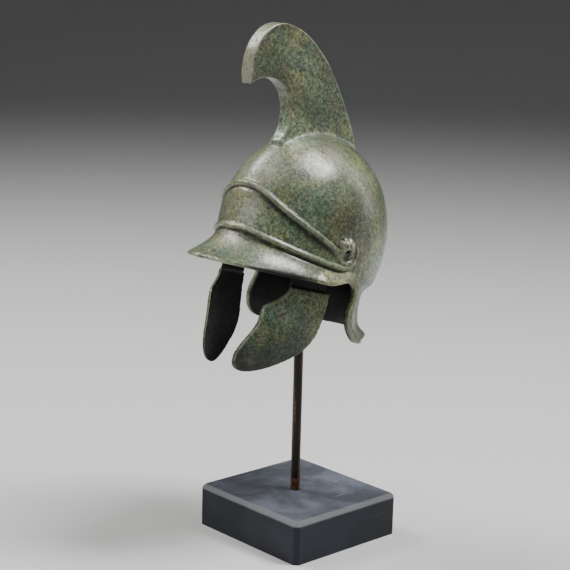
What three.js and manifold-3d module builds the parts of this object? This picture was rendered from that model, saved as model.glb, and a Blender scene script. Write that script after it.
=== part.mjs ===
// Small bronze helmet of the Phrygian kind on a rod and stone stand, in millimetres, +Z up.
// Origin: middle of the stone's underside. The helmet faces -Y, the wearer's left is +X.
import * as THREE from 'three';
import { ParametricGeometry } from 'three/addons/geometries/ParametricGeometry.js';
import { mergeVertices } from 'three/addons/utils/BufferGeometryUtils.js';
import Module from 'manifold-3d';

const wasm = await Module();
wasm.setup();

// ---------------------------------------------------------------- driving dimensions
const GAP = 0.3;

// Stone block
const STONE = { width: 72, depth: 68, height: 21, chamfer: 1.7, cornerCut: 1.0 };

// Rod, upright in a blind hole of the stone
const ROD = { radius: 2.3, y: -2, foot: 6, top: 196.2, sides: 16 };

// Helmet axes: origin at the middle of the bowl, nose tipped up
const HELMET = { y: -1.2, z: 152.2, tipUp: 15 };

// Bowl: half of an ellipsoid and the wall below it
const BOWL = { halfWidth: 35, halfLength: 45.3, halfHeight: 47.1, wall: 2.4 };

// Visor: its rim is an oval in one level plane
const VISOR = { halfWidth: 38, reach: 60.3, rim: -22.3, lip: 1.4, rootFront: -7.2, rootDrop: 7.5, curl: 1.5 };

// Neck guard: plan scale against height, beside the ear and at the nape
const NECK = {
  bottom: -47.5,
  beside: [[0, 1], [-15, 1], [-32, 1.005], [-38, 1.02], [-42, 1.045], [-48, 1.08]],
  nape: [
    [0, 1], [-8, 0.998], [-14, 0.972], [-18.5, 0.942], [-21, 0.893], [-23, 0.852],
    [-27, 0.84], [-32, 0.846], [-36, 0.863], [-39.5, 0.893], [-42.5, 0.99], [-48, 1.06],
  ],
};

// Turned-out border along the ear and the front edge of the neck guard
const BORDER = { width: 5.5, height: 1.3 };

// Crest plate, and how deep its root sits in the bowl's wall
const CREST = { thickness: 8.1, root: 1.2 };

// Raised ridges and the knob where they meet
const RIDGE = { radius: 1.35, sink: 0.1, steps: 52, sides: 6 };
const KNOB = { radius: 4.6, x: 34.6, y: -4.6, z: -4.4, flatness: 0.75 };

// Cheek guards: curved plate with a recessed strap above the crease; the strap's lug reaches the bowl's wall
const CHEEK = { wall: 2.2, halfWidth: 31.4, plan: 44, middle: -25, drop: 53, crease: -26.6, recess: 1.1 };
const STRAP = { top: -14, lug: 2.3, lugFrom: -22, lugTo: -19.5 };

// ---------------------------------------------------------------- small helpers
const RAD = Math.PI / 180;

function smoothStep(from, to, value) {
  const t = THREE.MathUtils.clamp((value - from) / (to - from), 0, 1);
  return t * t * (3 - 2 * t);
}

// Smooth curve through [height, value] pairs that are listed from the top down
function profileAt(pairs, z) {
  const last = pairs.length - 1;
  let i = pairs.findIndex((pair) => pair[0] <= z);
  i = i < 0 ? last : Math.max(i, 1);
  const value = (k) => pairs[THREE.MathUtils.clamp(k, 0, last)][1];
  const t = THREE.MathUtils.clamp((pairs[i - 1][0] - z) / (pairs[i - 1][0] - pairs[i][0]), 0, 1);
  const before = (value(i) - value(i - 2)) / 2;
  const after = (value(i + 1) - value(i - 1)) / 2;
  const bend = (3 * (value(i) - value(i - 1)) - 2 * before - after) * t * t;
  const twist = (before + after - 2 * (value(i) - value(i - 1))) * t * t * t;
  return value(i - 1) + before * t + bend + twist;
}

// Closed solid from a three.js geometry
function solid(geometry) {
  const bare = geometry.clone();
  bare.deleteAttribute('normal');
  bare.deleteAttribute('uv');
  const merged = mergeVertices(bare, 1e-4);
  const index = merged.index.array;
  const triangles = [];
  for (let i = 0; i < index.length; i += 3) {
    const [a, b, c] = index.slice(i, i + 3);
    if (a !== b && b !== c && c !== a) triangles.push(a, b, c);
  }
  return new wasm.Manifold(new wasm.Mesh({
    numProp: 3,
    vertProperties: new Float32Array(merged.attributes.position.array),
    triVerts: new Uint32Array(triangles),
  }));
}

function named(name, body, material) {
  const mesh = body.getMesh();
  const geometry = new THREE.BufferGeometry();
  geometry.setAttribute('position', new THREE.BufferAttribute(mesh.vertProperties, 3));
  geometry.setIndex(new THREE.BufferAttribute(mesh.triVerts, 1));
  geometry.computeVertexNormals();
  const part = new THREE.Mesh(geometry, material);
  part.name = name;
  return part;
}

// Prism along X with its outline given as a shape in the side view (Y to the right, Z up)
function sidePrism(shape, fromX, toX, options = {}) {
  const geometry = new THREE.ExtrudeGeometry(shape, { depth: toX - fromX, bevelEnabled: false, ...options });
  geometry.applyMatrix4(new THREE.Matrix4().set(0, 0, 1, fromX, 1, 0, 0, 0, 0, 1, 0, 0, 0, 0, 0, 1));
  return geometry;
}

function points(pairs) {
  return pairs.map(([a, b]) => new THREE.Vector2(a, b));
}

// ---------------------------------------------------------------- outlines in the side view
// Ear opening: small arch behind the visor, then down the front edge of the neck guard
const earFront = -13.5;
const earEdge = new THREE.Path();
earEdge.moveTo(earFront, VISOR.rim);
earEdge.bezierCurveTo(-8.5, VISOR.rim, -5, -19.9, 0.5, -19.6);
earEdge.bezierCurveTo(5, -19.4, 7.4, -20.6, 7.6, -24.5);
earEdge.bezierCurveTo(7.8, -28, 5.2, -32, 5.8, -36.5);
earEdge.bezierCurveTo(6.6, -41.5, 12, -45.4, 16.5, -46.6);

// Everything below the lower edge of the casting
const belowEdge = new THREE.Shape();
belowEdge.moveTo(-90, VISOR.rim);
belowEdge.lineTo(earFront, VISOR.rim);
belowEdge.curves.push(...earEdge.curves);
belowEdge.currentPoint.set(16.5, -46.6);
belowEdge.lineTo(60, -37.2);
belowEdge.lineTo(60, -70);
belowEdge.lineTo(-90, -70);
belowEdge.closePath();

const crestOutline = new THREE.Shape();
crestOutline.moveTo(23.2, 40);
crestOutline.splineThru(points([
  [10.6, 56.8], [-0.5, 69.6], [-10.4, 79], [-19.2, 85], [-29, 89.4], [-38.8, 91],
]));
crestOutline.bezierCurveTo(-47.3, 91.6, -54.3, 85.6, -56.4, 77);
crestOutline.bezierCurveTo(-58, 71, -57, 64, -55.2, 58.8);
crestOutline.bezierCurveTo(-52, 63.6, -45, 65.6, -40, 64.8);
crestOutline.bezierCurveTo(-32, 63, -29.4, 57.5, -28.2, 52);
crestOutline.bezierCurveTo(-27.2, 47, -27.4, 43, -30.5, 37.4);
crestOutline.lineTo(-29.6, 34.6);
const ROOT_STEPS = 12;
for (let i = 0; i <= ROOT_STEPS; i += 1) {
  const y = THREE.MathUtils.lerp(-28.6, 24, i / ROOT_STEPS);
  const along = y / (BOWL.halfLength - CREST.root);
  crestOutline.lineTo(y, (BOWL.halfHeight - CREST.root) * Math.sqrt(1 - along * along));
}
crestOutline.closePath();

const cheekOutline = new THREE.Shape();
cheekOutline.moveTo(-4.6, CHEEK.crease);
cheekOutline.bezierCurveTo(-4.2, -33, -3.8, -40, -4.4, -46);
cheekOutline.bezierCurveTo(-5, -52, -9, -57.5, -14, -61.4);
cheekOutline.bezierCurveTo(-19, -65.6, -25, -69.4, -30, -70);
cheekOutline.bezierCurveTo(-35.4, -70.2, -37, -66, -36.8, -61.6);
cheekOutline.bezierCurveTo(-36.4, -55, -33, -50, -33, -43);
cheekOutline.bezierCurveTo(-33, -39, -33.4, -38, -31.4, -36.2);
cheekOutline.bezierCurveTo(-28.4, -33.2, -25, -31.6, -24.4, CHEEK.crease);
cheekOutline.lineTo(-22.6, STRAP.top);
cheekOutline.lineTo(-6.5, STRAP.top);
cheekOutline.lineTo(-6.2, CHEEK.crease);
cheekOutline.closePath();

// ---------------------------------------------------------------- skin of the bowl
const earPoints = earEdge.getPoints(10);

function distanceToEar(y, z) {
  const spot = new THREE.Vector3(y, z, 0);
  const near = new THREE.Vector3();
  let best = Infinity;
  for (let i = 1; i < earPoints.length; i += 1) {
    const a = new THREE.Vector3(earPoints[i - 1].x, earPoints[i - 1].y, 0);
    const b = new THREE.Vector3(earPoints[i].x, earPoints[i].y, 0);
    new THREE.Line3(a, b).closestPointToPoint(spot, true, near);
    best = Math.min(best, near.distanceTo(spot));
  }
  return best;
}

// Point of the outer skin: angle in degrees from the front, height z
function skin(angle, z) {
  const turn = Math.abs(angle);
  const sin = Math.sin(angle * RAD);
  const cos = Math.cos(angle * RAD);
  if (z >= 0) {
    const scale = Math.sqrt(Math.max(1 - (z / BOWL.halfHeight) ** 2, 0));
    return new THREE.Vector3(BOWL.halfWidth * scale * sin, -BOWL.halfLength * scale * cos, z);
  }
  const root = VISOR.rootFront - VISOR.rootDrop * (Math.min(turn, 90) / 90) ** 1.3;
  const flare = THREE.MathUtils.clamp((root - z) / (root - VISOR.rim - VISOR.lip), 0, 1) ** VISOR.curl;
  const front = new THREE.Vector2(
    THREE.MathUtils.lerp(BOWL.halfWidth, VISOR.halfWidth, flare),
    THREE.MathUtils.lerp(BOWL.halfLength, VISOR.reach, flare),
  );
  const beside = profileAt(NECK.beside, z);
  const scale = THREE.MathUtils.lerp(beside, profileAt(NECK.nape, z), smoothStep(98, 126, turn));
  const back = new THREE.Vector2(BOWL.halfWidth, BOWL.halfLength).multiplyScalar(scale);
  const plan = front.lerp(back, smoothStep(84, 98, turn));
  return new THREE.Vector3(plan.x * sin, -plan.y * cos, z);
}

function skinNormal(angle, z) {
  const step = 0.2;
  const around = skin(angle + step, z).sub(skin(angle - step, z));
  const down = skin(angle, z - step).sub(skin(angle, Math.min(z + step, BOWL.halfHeight)));
  return down.cross(around).normalize();
}

function outerPoint(angle, z) {
  const spot = skin(angle, z);
  const rise = BORDER.height * (1 - smoothStep(0, BORDER.width, distanceToEar(spot.y, z)));
  const outward = new THREE.Vector3(Math.sin(angle * RAD), -Math.cos(angle * RAD), 0);
  return spot.add(outward.multiplyScalar(rise));
}

function innerPoint(angle, z) {
  return skin(angle, z).add(skinNormal(angle, z).multiplyScalar(-BOWL.wall));
}

// Angles round the bowl, closer together at the ears
function rangeOf(from, to, step) {
  const count = Math.round((to - from) / step);
  return Array.from({ length: count }, (_, i) => from + i * step);
}
const halfRound = [...rangeOf(0, 78, 6.5), ...rangeOf(78, 112, 2.6), ...rangeOf(112, 180, 8.5)];
const angles = [...halfRound, 180, ...halfRound.slice(1).reverse().map((angle) => 360 - angle), 360];

// Height of row v, from the crown at 0 to below the cut edge at 1
const CROWN_LIMIT = 0.03;
function rowHeight(v, crownShare) {
  if (v < crownShare) {
    const tilt = THREE.MathUtils.lerp(CROWN_LIMIT, 1, v / crownShare) * Math.PI / 2;
    return BOWL.halfHeight * Math.cos(tilt);
  }
  return NECK.bottom * (v - crownShare) / (1 - crownShare);
}

function bowlShell() {
  const outerRows = 28;
  const outerCrown = 0.36;
  const innerRows = 12;
  const innerCrown = 0.5;
  const rows = outerRows + innerRows + 3;
  const place = (u, v, target) => {
    const angle = angles[Math.round((1 - u) * (angles.length - 1))];
    const signed = angle > 180 ? angle - 360 : angle;
    const row = Math.round(v * rows);
    if (row === 0) target.set(0, 0, BOWL.halfHeight);
    else if (row === rows) target.set(0, 0, BOWL.halfHeight - BOWL.wall);
    else if (row <= outerRows + 1) {
      target.copy(outerPoint(signed, rowHeight((row - 1) / outerRows, outerCrown)));
    } else {
      const share = (rows - 1 - row) / innerRows;
      target.copy(innerPoint(signed, rowHeight(share, innerCrown)));
    }
  };
  return solid(new ParametricGeometry(place, angles.length - 1, rows));
}

// ---------------------------------------------------------------- ridges and knobs
function onSkin(angle, z) {
  return skin(angle, z).add(skinNormal(angle, z).multiplyScalar(-RIDGE.sink));
}

function ridge(stations) {
  const right = stations.map(([angle, z]) => onSkin(angle, z));
  const left = stations.filter(([angle]) => angle > 0).map(([angle, z]) => onSkin(-angle, z));
  const path = new THREE.CatmullRomCurve3([...left.reverse(), ...right], false, 'centripetal');
  const section = new THREE.Shape().absarc(0, 0, RIDGE.radius, 0, 2 * Math.PI);
  return solid(new THREE.ExtrudeGeometry(section, {
    steps: RIDGE.steps,
    extrudePath: path,
    curveSegments: RIDGE.sides / 2,
  }));
}

function knob(side) {
  const ball = new THREE.SphereGeometry(KNOB.radius, 12, 8);
  ball.scale(KNOB.flatness, 1, 1);
  ball.translate(side * KNOB.x, KNOB.y, KNOB.z);
  return solid(ball);
}

// ---------------------------------------------------------------- pieces
function helmetCasting() {
  const upperRidge = [[0, 15.6], [12, 15], [24, 12.2], [40, 6.8], [56, 1.4], [72, -4], [81, -6.8]];
  const lowerRidge = [
    [0, -5], [16, -5.2], [34, -7.6], [52, -10.2], [70, -12.4], [82, -13.4],
    [89, -12.4], [93, -9.4], [94, -5.8], [92.4, -2.4], [88.6, -0.2], [84, 0.2],
  ];
  const crest = sidePrism(crestOutline, -CREST.thickness / 2, CREST.thickness / 2, { curveSegments: 6 });
  const cut = solid(sidePrism(belowEdge, -60, 60, { curveSegments: 7 }));
  return bowlShell()
    .subtract(cut)
    .add(ridge(upperRidge))
    .add(ridge(lowerRidge))
    .add(knob(1))
    .add(knob(-1))
    .add(solid(crest));
}

function cheekFace(y, z) {
  const plan = Math.sqrt(1 - (y / CHEEK.plan) ** 2);
  const fall = Math.min(z - CHEEK.middle, 0) / CHEEK.drop;
  const recess = CHEEK.recess * smoothStep(CHEEK.crease - 0.2, CHEEK.crease + 0.4, z);
  return CHEEK.halfWidth * plan * Math.sqrt(1 - fall * fall) - recess;
}

function cheekGuard(side) {
  const height = 60;
  const length = 36;
  const plate = new THREE.BoxGeometry(CHEEK.wall, length, height, 1, 6, 24);
  const position = plate.attributes.position;
  for (let i = 0; i < position.count; i += 1) {
    const y = position.getY(i) - 20;
    const z = position.getZ(i) - 42;
    const lug = STRAP.lug * smoothStep(STRAP.lugFrom, STRAP.lugTo, z);
    const proud = position.getX(i) > 0 ? lug : -CHEEK.wall;
    position.setXYZ(i, side * (cheekFace(y, z) + proud), y, z);
  }
  if (side < 0) plate.index.array.reverse();
  const outline = sidePrism(cheekOutline, side > 0 ? 2 : -40, side > 0 ? 40 : -2, { curveSegments: 5 });
  return solid(plate).intersect(solid(outline));
}

function stoneBase() {
  const halfWidth = STONE.width / 2;
  const halfDepth = STONE.depth / 2;
  const cut = STONE.cornerCut;
  const top = new THREE.Shape(points([
    [halfWidth, cut - halfDepth], [halfWidth, halfDepth - cut], [halfWidth - cut, halfDepth],
    [cut - halfWidth, halfDepth], [-halfWidth, halfDepth - cut], [-halfWidth, cut - halfDepth],
    [cut - halfWidth, -halfDepth], [halfWidth - cut, -halfDepth],
  ]));
  const block = new THREE.ExtrudeGeometry(top, {
    depth: STONE.height,
    bevelThickness: STONE.chamfer,
    bevelSize: STONE.chamfer,
    bevelOffset: -STONE.chamfer,
    bevelSegments: 1,
  });
  block.translate(0, 0, -STONE.chamfer);
  const under = new THREE.BoxGeometry(2 * STONE.width, 2 * STONE.depth, STONE.height);
  under.translate(0, 0, -STONE.height / 2);
  const hole = new THREE.CylinderGeometry(ROD.radius + GAP, ROD.radius + GAP, STONE.height, ROD.sides);
  hole.rotateX(Math.PI / 2);
  hole.translate(0, ROD.y, ROD.foot + STONE.height / 2);
  return solid(block).subtract(solid(under)).subtract(solid(hole));
}

function mountRod() {
  const foot = ROD.foot + GAP;
  const profile = points([[0, foot], [ROD.radius, foot], [ROD.radius, ROD.top - ROD.radius]]);
  const round = new THREE.Path().absarc(0, ROD.top - ROD.radius, ROD.radius, 0, Math.PI / 2, false);
  profile.push(...round.getPoints(5).slice(1));
  profile[profile.length - 1].setX(0);
  const rod = new THREE.LatheGeometry(profile, ROD.sides);
  rod.rotateX(Math.PI / 2);
  rod.translate(0, ROD.y, 0);
  return solid(rod);
}

// ---------------------------------------------------------------- materials and assembly
const bronze = new THREE.MeshStandardMaterial({ color: 0x6f7f66, roughness: 0.5, metalness: 0.7 });
const bronzePlate = new THREE.MeshStandardMaterial({ color: 0x66775c, roughness: 0.55, metalness: 0.7 });
const blackSteel = new THREE.MeshStandardMaterial({ color: 0x2b211b, roughness: 0.5, metalness: 0.6 });
const slate = new THREE.MeshStandardMaterial({ color: 0x343a42, roughness: 0.6, metalness: 0 });

const helmet = new THREE.Group();
helmet.position.set(0, HELMET.y, HELMET.z);
helmet.rotation.x = -HELMET.tipUp * RAD;
helmet.add(named('helmet_casting', helmetCasting(), bronze));
helmet.add(named('cheek_guard_left', cheekGuard(1), bronzePlate));
helmet.add(named('cheek_guard_right', cheekGuard(-1), bronzePlate));

const display = new THREE.Group();
display.add(named('stone_base', stoneBase(), slate));
display.add(named('mount_rod', mountRod(), blackSteel));
display.add(helmet);

export default display;
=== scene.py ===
import math

import bmesh
import bpy
import numpy as np
from mathutils import Matrix, Vector, noise


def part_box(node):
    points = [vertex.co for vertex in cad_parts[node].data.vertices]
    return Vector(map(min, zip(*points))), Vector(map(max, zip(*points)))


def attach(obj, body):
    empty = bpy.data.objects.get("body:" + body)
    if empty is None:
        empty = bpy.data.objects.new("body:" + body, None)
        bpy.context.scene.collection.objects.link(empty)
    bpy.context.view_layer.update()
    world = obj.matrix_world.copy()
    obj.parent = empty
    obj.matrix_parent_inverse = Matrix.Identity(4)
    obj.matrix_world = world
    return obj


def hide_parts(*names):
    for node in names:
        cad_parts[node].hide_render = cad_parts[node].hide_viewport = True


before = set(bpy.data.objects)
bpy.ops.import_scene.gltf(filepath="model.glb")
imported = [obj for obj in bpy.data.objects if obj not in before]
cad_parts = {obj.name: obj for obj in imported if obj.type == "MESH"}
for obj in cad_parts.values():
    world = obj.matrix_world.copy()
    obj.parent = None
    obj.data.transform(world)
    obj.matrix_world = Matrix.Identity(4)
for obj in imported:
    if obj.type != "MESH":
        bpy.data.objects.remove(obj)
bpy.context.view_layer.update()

# ------------------------------------------------------------------ driving sizes
MM = 0.001
BODY = "root"

HELMET_PLACE = Vector((0.0, -1.2, 152.2)) * MM
NOSE_TIPPED_UP = math.radians(15)

BOWL_HALF = Vector((35.0, 45.3, 47.1))
WALL = 2.4
LOWEST = -47.5
UNIT_FLOOR = 0.94       # where the unit ball that the bowl is shaped from is cut off
UNIT_WALL = 0.05

VISOR_HALF_WIDTH = 38.0
VISOR_REACH = 60.3
VISOR_RIM = -22.3
VISOR_LIP = 1.4
VISOR_ROOT_FRONT = -7.2
VISOR_ROOT_DROP = 7.5
VISOR_CURL = 1.5

NECK_BESIDE_EAR = [(0, 1), (-15, 1), (-32, 1.005), (-38, 1.02), (-42, 1.045), (-48, 1.08)]
NECK_AT_NAPE = [(0, 1), (-8, 0.998), (-14, 0.972), (-18.5, 0.942), (-21, 0.893), (-23, 0.852), (-27, 0.84),
                (-32, 0.846), (-36, 0.863), (-39.5, 0.893), (-42.5, 0.99), (-48, 1.06)]

BORDER_WIDTH = 5.5
BORDER_FLAT = 0.45      # share of the width that stands at full height
BORDER_HEIGHT = 1.3

CREST_THICKNESS = 8.1
CREST_BEVEL = 0.9
CREST_ROOT = 1.2
CREST_TIP = 58.8
CREST_TIP_ROUNDING = 2.8
CREST_TIP_SAG = 0.8
CREST_TIP_REACH = 9
CREST_FILLET_FROM, CREST_FILLET_TO = -34, 28

RIDGE_RADIUS = 1.35
UPPER_RIDGE = [(0, 15.6), (12, 15), (24, 12.2), (40, 6.8), (56, 1.4), (72, -4), (79, -7.0), (83, -9.8),
               (87, -10.8), (91, -9.6)]
LOWER_RIDGE = [(0, -5), (16, -5.2), (34, -7.6), (52, -10.2), (70, -12.4), (82, -13.4), (89, -12.6),
               (93.4, -9.6), (94.6, -5.8), (93.4, -2.6)]
RIDGE_THINS_FROM, RIDGE_THINS_TO = 78, 95    # degrees from the front, where a ridge tapers to its end
RIDGE_END_SHARE = 0.45

KNOB = Vector((34.6, -4.0, -4.2))
KNOB_HALF = Vector((3.6, 5.0, 4.9))
KNOB_TOP = (36.6, -4.0, -2.0)
KNOB_ROUGHNESS = 0.13
KNOB_PIT = (37.8, -3.2, -7.4)
KNOB_PIT_RADIUS = 2.5
KNOB_INNER_SIDE = 28
PITS = [(KNOB_PIT, 2.7, 4.2), ((36.6, -8.4, 0.4), 1.0, 0.9), ((35.6, -6.0, -19.2), 0.55, 0.9)]

GROOVE_DROP = 1.9
GROOVE_WIDTH = 0.62
GROOVE_DEPTH = 0.42
GROOVE_FADE = 8
GROOVED_RIDGES = [(UPPER_RIDGE, 80), (LOWER_RIDGE, 90)]    # and the angle at which each groove ends
SPINE_WIDTH = 5.5
SPINE_HEIGHT = 0.9
SPINE_RISES, SPINE_FALLS = (13, 34), (37, 42)
SPINE_REAR = -20
FILLET_ROUNDS = 34

CHEEK_WALL = 2.2
CHEEK_HALF_WIDTH = 31.4
CHEEK_PLAN = 44.0
CHEEK_MIDDLE = -25.0
CHEEK_DROP = 53.0
CHEEK_CREASE = -26.6
CHEEK_RECESS = 1.1
STRAP_TOP = -14.0
STRAP_LUG = 2.3
LUG_FROM, LUG_TO = -22.0, -19.5
CHEEK_PATCH_Y, CHEEK_PATCH_HALF_Y = -20.0, 18.0
CHEEK_PATCH_Z, CHEEK_PATCH_HALF_Z = -42.0, 30.0

CASTING_VOXEL = 0.5
PLATE_VOXEL = 0.34
CASTING_TRIANGLES = 190000

CORNER_CHAMFER = 2.2
TOP_CHAMFER = 1.7
ARRIS = 0.25

# Where the stand's finishes, painted sheen and painted shade change, in metres
ROD_FOOT_TOP = 0.0245
ROD_SHEEN_SIDE = math.radians(47)    # painted copper sheen down the rod's two sides as seen from the camera, this way round from +X
ROD_SHEEN_FROM, ROD_SHEEN_TO = 0.0011, 0.0021
# how far below the slate's top its painted side shade begins, in metres
SLATE_SHADE_FROM, SLATE_SHADE_TO = 0.0024, 0.0018
CHAMFER_FROM, CHAMFER_TO = 0.0028, 0.0021

FLOOR_HALF = 9.0
FLOOR_FLAT = 2.2
FLOOR_RISE = 0.30

to_place = (Matrix.Translation(HELMET_PLACE) @ Matrix.Rotation(-NOSE_TIPPED_UP, 4, "X")
            @ Matrix.Scale(MM, 4))


# ------------------------------------------------------------------ the bowl's skin
def smooth_step(low, high, value):
    t = np.clip((value - low) / (high - low), 0.0, 1.0)
    return t * t * (3.0 - 2.0 * t)


def profile(pairs, z):
    """Smooth curve through (height, value) pairs, listed from the top down."""
    heights = [pair[0] for pair in pairs]
    values = [pair[1] for pair in pairs]
    samples = []
    for i in range(1, len(pairs)):
        before = (values[i] - values[max(i - 2, 0)]) / 2
        after = (values[min(i + 1, len(pairs) - 1)] - values[i - 1]) / 2
        step = values[i] - values[i - 1]
        for t in np.linspace(0, 1, 12, endpoint=False):
            bend = (3 * step - 2 * before - after) * t * t
            twist = (before + after - 2 * step) * t ** 3
            height = heights[i - 1] + (heights[i] - heights[i - 1]) * t
            samples.append((height, values[i - 1] + before * t + bend + twist))
    samples.append((heights[-1], values[-1]))
    samples = np.array(samples[::-1])
    return np.interp(z, samples[:, 0], samples[:, 1])


def skin(angle, z):
    """Points of the outer skin: angles in degrees from the front, heights z."""
    angle = np.asarray(angle, float)
    z = np.asarray(z, float)
    turn = np.abs(angle)
    sin = np.sin(np.radians(angle))
    cos = np.cos(np.radians(angle))
    dome = np.sqrt(np.clip(1 - (z / BOWL_HALF.z) ** 2, 0, 1))
    root = VISOR_ROOT_FRONT - VISOR_ROOT_DROP * (np.minimum(turn, 90) / 90) ** 1.3
    flare = np.clip((root - z) / (root - VISOR_RIM - VISOR_LIP), 0, 1) ** VISOR_CURL
    front_x = BOWL_HALF.x + (VISOR_HALF_WIDTH - BOWL_HALF.x) * flare
    front_y = BOWL_HALF.y + (VISOR_REACH - BOWL_HALF.y) * flare
    beside = profile(NECK_BESIDE_EAR, z)
    nape = profile(NECK_AT_NAPE, z)
    scale = beside + (nape - beside) * smooth_step(98, 126, turn)
    behind = smooth_step(84, 98, turn)
    plan_x = front_x + (BOWL_HALF.x * scale - front_x) * behind
    plan_y = front_y + (BOWL_HALF.y * scale - front_y) * behind
    plan_x = np.where(z >= 0, BOWL_HALF.x * dome, plan_x)
    plan_y = np.where(z >= 0, BOWL_HALF.y * dome, plan_y)
    return np.stack([plan_x * sin, -plan_y * cos, z], -1)


def skin_angle(points):
    """Angle from the front at which each point lies, on an oval of the bowl's shape."""
    return np.degrees(np.arctan2(points[..., 0] / BOWL_HALF.x, -points[..., 1] / BOWL_HALF.y))


def skin_normal(angle, z):
    step = 1.0
    around = skin(angle + step, z) - skin(angle - step, z)
    up = skin(angle, np.minimum(z + step, BOWL_HALF.z)) - skin(angle, z - step)
    normal = np.cross(around, up)
    return normal / np.linalg.norm(normal, axis=-1, keepdims=True)


# ------------------------------------------------------------------ outlines in the side view (Y, Z)
def bezier(start, control_a, control_b, end, count=10):
    """Points after start, up to and with end."""
    t = np.linspace(0, 1, count + 1)[1:, None]
    start, control_a, control_b, end = (np.array(p, float) for p in (start, control_a, control_b, end))
    curve = ((1 - t) ** 3 * start + 3 * (1 - t) ** 2 * t * control_a + 3 * (1 - t) * t ** 2 * control_b
             + t ** 3 * end)
    return [tuple(p) for p in curve]


def spline(points, count=6):
    """Smooth curve through the points, up to and with the last one."""
    p = [np.array(q, float) for q in points]
    curve = []
    for i in range(1, len(p)):
        before = (p[i] - p[max(i - 2, 0)]) / 2
        after = (p[min(i + 1, len(p) - 1)] - p[i - 1]) / 2
        step = p[i] - p[i - 1]
        for t in np.linspace(0, 1, count + 1)[1:]:
            bend = (3 * step - 2 * before - after) * t * t
            twist = (before + after - 2 * step) * t ** 3
            curve.append(tuple(p[i - 1] + before * t + bend + twist))
    return curve


EAR_EDGE = [(-13.5, VISOR_RIM)]
EAR_EDGE += bezier(EAR_EDGE[-1], (-8.5, VISOR_RIM), (-5, -19.9), (0.5, -19.6))
EAR_EDGE += bezier(EAR_EDGE[-1], (5, -19.4), (7.4, -20.6), (7.6, -24.5))
EAR_EDGE += bezier(EAR_EDGE[-1], (7.8, -28), (5.2, -32), (5.8, -36.5))
EAR_EDGE += bezier(EAR_EDGE[-1], (6.6, -41.5), (10.8, -47.2), (16.5, -47.0))

BELOW_EDGE = [(-90, VISOR_RIM)] + EAR_EDGE + [(60, -37.2), (60, -70), (-90, -70)]


def crest_outline():
    outline = [(23.2, 40)]
    outline += spline([outline[-1], (10.6, 56.8), (-0.5, 69.6), (-10.4, 79), (-19.2, 85), (-29, 89.4),
                       (-38.8, 91)])
    outline += bezier(outline[-1], (-47.3, 91.6), (-54.3, 85.6), (-56.4, 77))
    outline += bezier(outline[-1], (-58, 71), (-57, 64), (-55.2, 58.8))
    outline += bezier(outline[-1], (-52, 63.6), (-45, 65.6), (-40, 64.8))
    outline += bezier(outline[-1], (-32, 63), (-29.4, 57.5), (-28.2, 52))
    outline += bezier(outline[-1], (-27.2, 47), (-27.4, 43), (-30.5, 37.4))
    outline.append((-29.6, 34.6))
    for y in np.linspace(-28.6, 24, 14):
        along = y / (BOWL_HALF.y - CREST_ROOT)
        outline.append((y, (BOWL_HALF.z - CREST_ROOT) * math.sqrt(1 - along * along)))
    return outline


def cheek_outline():
    outline = [(-4.6, CHEEK_CREASE)]
    outline += bezier(outline[-1], (-4.2, -33), (-3.8, -40), (-4.4, -46))
    outline += bezier(outline[-1], (-5, -52), (-9, -57.5), (-14, -61.4))
    outline += bezier(outline[-1], (-19, -65.6), (-25, -69.4), (-30, -70))
    outline += bezier(outline[-1], (-35.4, -70.2), (-37, -66), (-36.8, -61.6))
    outline += bezier(outline[-1], (-36.4, -55), (-33, -50), (-33, -43))
    outline += bezier(outline[-1], (-33, -39), (-33.4, -38), (-31.4, -36.2))
    outline += bezier(outline[-1], (-28.4, -33.2), (-25, -31.6), (-24.4, CHEEK_CREASE))
    outline += [(-22.6, STRAP_TOP), (-6.5, STRAP_TOP), (-6.2, CHEEK_CREASE)]
    return outline


# ------------------------------------------------------------------ mesh helpers
def new_object(name, bm):
    mesh = bpy.data.meshes.new(name)
    bm.to_mesh(mesh)
    bm.free()
    piece = bpy.data.objects.new(name, mesh)
    bpy.context.scene.collection.objects.link(piece)
    return piece


def apply_modifiers(piece):
    """Bakes the object's modifiers into its mesh."""
    graph = bpy.context.evaluated_depsgraph_get()
    mesh = bpy.data.meshes.new_from_object(piece.evaluated_get(graph))
    old = piece.data
    piece.modifiers.clear()
    piece.data = mesh
    bpy.data.meshes.remove(old)


def remove_object(piece):
    mesh = piece.data
    bpy.data.objects.remove(piece)
    bpy.data.meshes.remove(mesh)


def prism(outline, half_width, bevel=0.0):
    """Side-view outline drawn out to both sides of the middle plane."""
    bm = bmesh.new()
    ring = [bm.verts.new((-half_width, y, z)) for y, z in outline]
    side = bm.faces.new(ring)
    drawn = bmesh.ops.extrude_face_region(bm, geom=[side])
    moved = [g for g in drawn["geom"] if isinstance(g, bmesh.types.BMVert)]
    bmesh.ops.translate(bm, verts=moved, vec=(2 * half_width, 0, 0))
    bmesh.ops.recalc_face_normals(bm, faces=bm.faces)
    if bevel:
        rims = [e for e in bm.edges if abs(e.verts[0].co.x - e.verts[1].co.x) < 1e-6]
        bmesh.ops.bevel(bm, geom=rims, offset=bevel, segments=3, profile=0.5, affect="EDGES", material=-1,
                        clamp_overlap=True)
    return bm


def boolean(piece, other, operation):
    cut = piece.modifiers.new("cut", "BOOLEAN")
    cut.operation = operation
    cut.solver = "EXACT"
    cut.object = other
    apply_modifiers(piece)
    remove_object(other)


def join_meshes(name, pieces):
    bm = bmesh.new()
    for piece in pieces:
        bm.from_mesh(piece.data)
        remove_object(piece)
    return new_object(name, bm)


def voxel_remesh(piece, size):
    remesh = piece.modifiers.new("fuse", "REMESH")
    remesh.mode = "VOXEL"
    remesh.voxel_size = size
    remesh.use_smooth_shade = True
    apply_modifiers(piece)


def vertex_array(mesh):
    co = np.empty(len(mesh.vertices) * 3, np.float32)
    mesh.vertices.foreach_get("co", co)
    return co.reshape(-1, 3).astype(float)


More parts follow.
